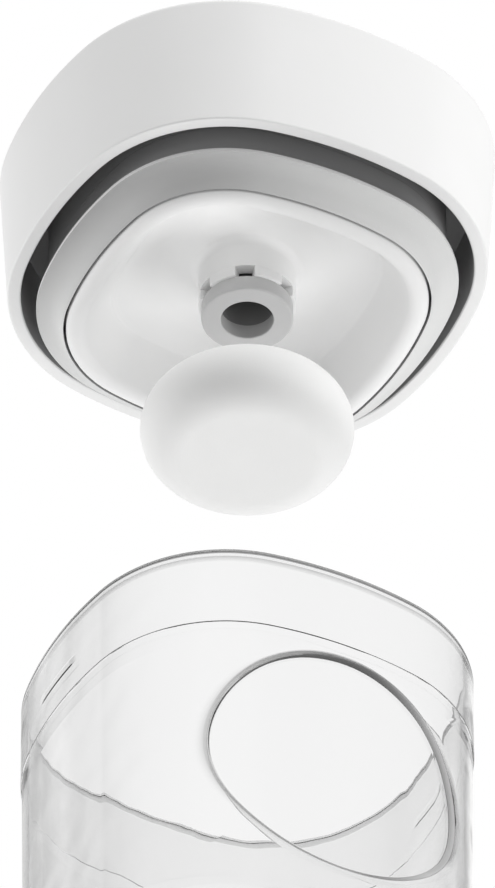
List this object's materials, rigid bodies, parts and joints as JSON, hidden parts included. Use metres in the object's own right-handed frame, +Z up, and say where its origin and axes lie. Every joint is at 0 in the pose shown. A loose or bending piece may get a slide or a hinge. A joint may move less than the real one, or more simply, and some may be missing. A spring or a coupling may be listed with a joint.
{
  "type": "vacuum canister",
  "caption": "Square-round clear canister with a white lid held open above it, showing its flared skirt, lip gasket, air duct collar and a domed splash cap drawn off below.",
  "frame": {"origin": "centre of the tub's base, on the surface it stands on", "axes": "+Z up through the tub and the lid, -Y towards the round recess on the tub's front"},
  "size_m": [0.1104, 0.1104, 0.2774],
  "materials": {
    "clear_plastic": "clear, polished",
    "white_plastic": "fine satin",
    "grey_silicone": "matt",
    "grey_plastic": "satin",
    "white_silicone": "matt"
  },
  "bodies": {
    "container": {"container": "clear_plastic"},
    "lid": {"lid_shell": "white_plastic", "lid_liner": "white_plastic", "lid_gasket": "grey_silicone", "valve_collar": "grey_plastic", "duct_seal": "grey_silicone"},
    "splash_cap": {"splash_cap": "white_silicone"},
    "release_valve": {"release_valve": "grey_silicone"}
  },
  "joints": [
    {"name": "lid_lift", "type": "slide", "parent": "container", "child": "lid", "axis": [0, 0, 1], "range_m": [-0.1538, 0]},
    {"name": "cap_push", "type": "slide", "parent": "lid", "child": "splash_cap", "axis": [0, 0, 1], "range_m": [0, 0.0264]},
    {"name": "valve_lift", "type": "slide", "parent": "lid", "child": "release_valve", "axis": [0, 0, 1], "range_m": [0, 0.002]}
  ]
}
